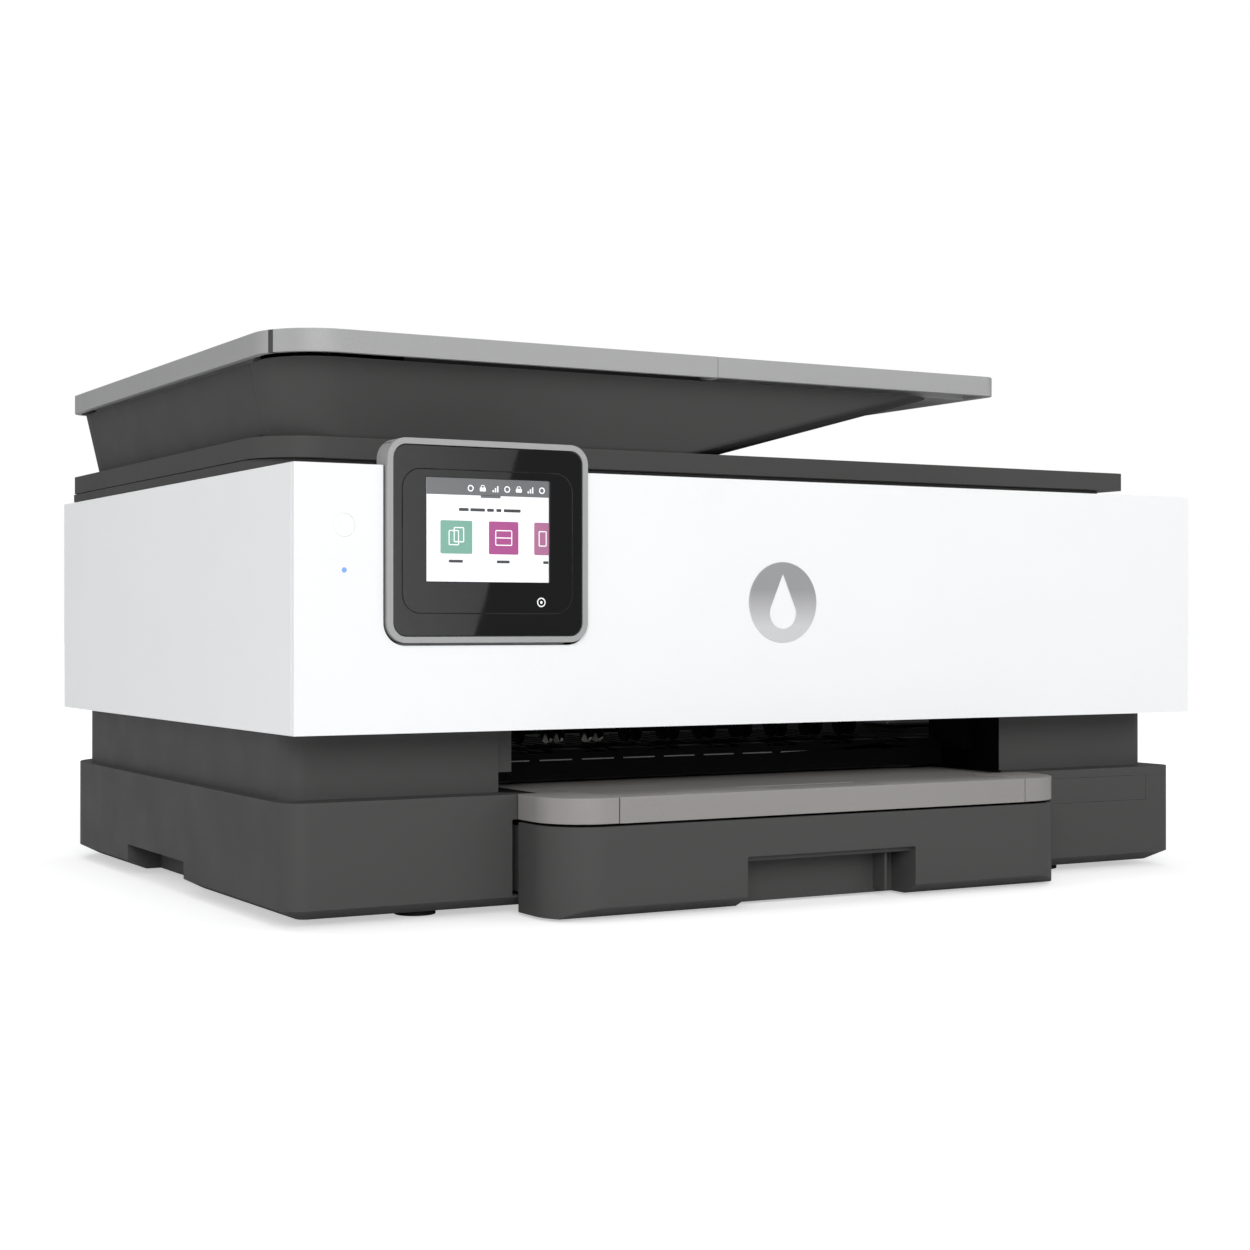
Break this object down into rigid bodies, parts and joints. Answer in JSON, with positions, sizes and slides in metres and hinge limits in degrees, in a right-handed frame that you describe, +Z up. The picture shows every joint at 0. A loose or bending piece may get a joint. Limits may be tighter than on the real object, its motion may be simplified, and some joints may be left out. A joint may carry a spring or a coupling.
{
  "type": "inkjet printer",
  "caption": "All-in-one inkjet printer with a flatbed scanner, document feeder, tilting touch panel, paper drawer and pull-out output tray.",
  "frame": {"origin": "centre of the bounding box's bottom face, on the surface the feet stand on", "axes": "+X to the right seen from the front, +Y towards the back, +Z up"},
  "size_m": [0.46, 0.37, 0.234],
  "materials": {
    "white_plastic": "satin white moulded plastic",
    "dark_plastic": "fine-textured charcoal plastic",
    "grey_plastic": "mid grey satin plastic",
    "warm_plastic": "warm light grey plastic",
    "black_plastic": "black structural plastic",
    "steel": "zinc-plated steel",
    "rubber": "soft black rubber",
    "gear_plastic": "natural acetal",
    "circuit_board": "green solder mask",
    "scan_glass": "clear float glass",
    "touch_glass": "black gloss touch surface",
    "display": "lit colour display",
    "light": "blue light lens",
    "ink_black": "black cartridge",
    "ink_cyan": "cyan cartridge",
    "ink_magenta": "magenta cartridge",
    "ink_yellow": "yellow cartridge"
  },
  "bodies": {
    "root": {"base_housing": "dark_plastic", "middle_frame": "dark_plastic", "body_shell": "white_plastic", "rear_cover": "dark_plastic", "rubber_feet": "rubber", "case_fasteners": "steel", "scanner_bed": "dark_plastic", "scan_glass": "scan_glass", "lid_hinges": "dark_plastic", "chassis_frame": "steel", "guide_rods": "steel", "platen": "black_plastic", "carriage_belt": "rubber", "drive_motors": "steel", "transmission_belt": "rubber", "exit_guide": "black_plastic", "star_wheel_bar": "black_plastic", "service_station": "black_plastic", "rear_paper_guide": "black_plastic", "main_board": "circuit_board", "power_supply": "black_plastic", "power_inlet": "black_plastic", "rear_sockets": "steel", "output_tray": "warm_plastic"},
    "door": {"front_door": "white_plastic", "door_emblem": "steel", "status_light": "light", "panel_bracket": "dark_plastic"},
    "button": {"power_button": "white_plastic"},
    "panel": {"panel_case": "grey_plastic", "touch_glass": "touch_glass", "display": "display"},
    "carriage": {"print_carriage": "black_plastic", "print_head": "steel"},
    "cartridge_black": {"black_cartridge": "ink_black"},
    "cartridge_cyan": {"cyan_cartridge": "ink_cyan"},
    "cartridge_magenta": {"magenta_cartridge": "ink_magenta"},
    "cartridge_yellow": {"yellow_cartridge": "ink_yellow"},
    "belt_driver": {"drive_pulley": "steel"},
    "belt_idler": {"idler_pulley": "steel"},
    "feed": {"feed_shaft": "rubber"},
    "pinion": {"motor_pinion": "gear_plastic"},
    "output": {"output_shaft": "rubber"},
    "arm": {"pick_arm": "black_plastic"},
    "picker": {"pick_roller": "rubber"},
    "scanner_head": {"scan_head": "black_plastic"},
    "drawer": {"paper_drawer": "dark_plastic"},
    "guide_left": {"width_guide_left": "dark_plastic"},
    "guide_right": {"width_guide_right": "dark_plastic"},
    "guide_length": {"length_guide": "dark_plastic"},
    "extender": {"tray_extender": "warm_plastic"},
    "stop": {"paper_stop": "warm_plastic"},
    "lid": {"scanner_lid": "dark_plastic", "feeder_housing": "dark_plastic", "feeder_tray": "grey_plastic"},
    "cover": {"feeder_cover": "grey_plastic"},
    "feeder_pick": {"feeder_pick_roller": "rubber"},
    "feeder_feed": {"feeder_feed_roller": "rubber"},
    "feeder_front": {"feeder_guide_front": "grey_plastic"},
    "feeder_rear": {"feeder_guide_rear": "grey_plastic"}
  },
  "joints": [
    {"name": "door_hinge", "type": "hinge", "parent": "root", "child": "door", "pos_m": [0, -0.149, 0.0773], "axis": [1, 0, 0], "range_deg": [0, 80]},
    {"name": "panel_tilt", "type": "hinge", "parent": "door", "child": "panel", "pos_m": [-0.1484, -0.1525, 0.1855], "axis": [-1, 0, 0], "range_deg": [0, 15]},
    {"name": "power_button_press", "type": "slide", "parent": "door", "child": "button", "axis": [0, 1, 0], "range_m": [0, 0.0008], "stiffness_N_per_m": 600, "springref_m": -0.0005},
    {"name": "lid_hinge", "type": "hinge", "parent": "root", "child": "lid", "pos_m": [0, 0.174, 0.1895], "axis": [-1, 0, 0], "range_deg": [0, 80]},
    {"name": "feeder_cover_hinge", "type": "hinge", "parent": "lid", "child": "cover", "pos_m": [-0.2156, 0, 0.1974], "axis": [0, -1, 0], "range_deg": [0, 70]},
    {"name": "feeder_feed_spin", "type": "hinge", "parent": "lid", "child": "feeder_feed", "pos_m": [-0.15, 0.012, 0.212], "axis": [0, 1, 0], "continuous": true},
    {"name": "feeder_pick_spin", "type": "hinge", "parent": "lid", "child": "feeder_pick", "pos_m": [-0.062, 0.012, 0.218], "axis": [0, 1, 0], "continuous": true},
    {"name": "feeder_front_slide", "type": "slide", "parent": "lid", "child": "feeder_front", "axis": [0, 1, 0], "range_m": [0, 0.05]},
    {"name": "feeder_rear_slide", "type": "slide", "parent": "lid", "child": "feeder_rear", "axis": [0, -1, 0], "range_m": [0, 0.05]},
    {"name": "carriage_slide", "type": "slide", "parent": "root", "child": "carriage", "axis": [-1, 0, 0], "range_m": [0, 0.315]},
    {"name": "black_cartridge_slide", "type": "slide", "parent": "carriage", "child": "cartridge_black", "axis": [0, -1, 0], "range_m": [0, 0.036]},
    {"name": "cyan_cartridge_slide", "type": "slide", "parent": "carriage", "child": "cartridge_cyan", "axis": [0, -1, 0], "range_m": [0, 0.036]},
    {"name": "magenta_cartridge_slide", "type": "slide", "parent": "carriage", "child": "cartridge_magenta", "axis": [0, -1, 0], "range_m": [0, 0.036]},
    {"name": "yellow_cartridge_slide", "type": "slide", "parent": "carriage", "child": "cartridge_yellow", "axis": [0, -1, 0], "range_m": [0, 0.036]},
    {"name": "belt_driver_spin", "type": "hinge", "parent": "root", "child": "belt_driver", "pos_m": [-0.195, 0.0235, 0.12], "axis": [0, 1, 0], "range_deg": [-10, 2480]},
    {"name": "belt_idler_spin", "type": "hinge", "parent": "root", "child": "belt_idler", "pos_m": [0.195, 0.0235, 0.12], "axis": [0, 1, 0], "range_deg": [-10, 2480]},
    {"name": "feed_spin", "type": "hinge", "parent": "root", "child": "feed", "pos_m": [0, 0.02, 0.057], "axis": [1, 0, 0], "continuous": true},
    {"name": "pinion_spin", "type": "hinge", "parent": "root", "child": "pinion", "pos_m": [-0.202, 0.0456, 0.06152], "axis": [1, 0, 0], "continuous": true},
    {"name": "output_spin", "type": "hinge", "parent": "root", "child": "output", "pos_m": [0, -0.075, 0.0595], "axis": [1, 0, 0], "continuous": true},
    {"name": "pick_arm_swing", "type": "hinge", "parent": "root", "child": "arm", "pos_m": [0, 0.043, 0.056], "axis": [1, 0, 0], "range_deg": [0, 8]},
    {"name": "pick_roller_spin", "type": "hinge", "parent": "arm", "child": "picker", "pos_m": [0, 0.093, 0.036], "axis": [1, 0, 0], "continuous": true},
    {"name": "scan_head_slide", "type": "slide", "parent": "root", "child": "scanner_head", "axis": [1, 0, 0], "range_m": [0, 0.345]},
    {"name": "drawer_slide", "type": "slide", "parent": "root", "child": "drawer", "axis": [0, -1, 0], "range_m": [0, 0.22]},
    {"name": "guide_right_slide", "type": "slide", "parent": "drawer", "child": "guide_right", "axis": [-1, 0, 0], "range_m": [0, 0.05]},
    {"name": "guide_left_slide", "type": "slide", "parent": "drawer", "child": "guide_left", "axis": [1, 0, 0], "range_m": [0, 0.05]},
    {"name": "length_guide_slide", "type": "slide", "parent": "drawer", "child": "guide_length", "axis": [0, 1, 0], "range_m": [0, 0.1]},
    {"name": "extender_slide", "type": "slide", "parent": "root", "child": "extender", "axis": [0, -1, 0], "range_m": [0, 0.1]},
    {"name": "stop_flip", "type": "hinge", "parent": "extender", "child": "stop", "pos_m": [0, -0.1775, 0.0469], "axis": [1, 0, 0], "range_deg": [0, 90]}
  ],
  "couplings": [
    {"joint": "feeder_pick_spin", "follows": "feeder_feed_spin", "ratio": 1.2},
    {"joint": "feeder_rear_slide", "follows": "feeder_front_slide", "ratio": 1},
    {"joint": "belt_driver_spin", "follows": "carriage_slide", "rad_per_m": 136.05},
    {"joint": "belt_idler_spin", "follows": "carriage_slide", "rad_per_m": 136.05},
    {"joint": "pinion_spin", "follows": "feed_spin", "ratio": -3.3333},
    {"joint": "output_spin", "follows": "feed_spin", "ratio": 1},
    {"joint": "guide_left_slide", "follows": "guide_right_slide", "ratio": 1}
  ]
}
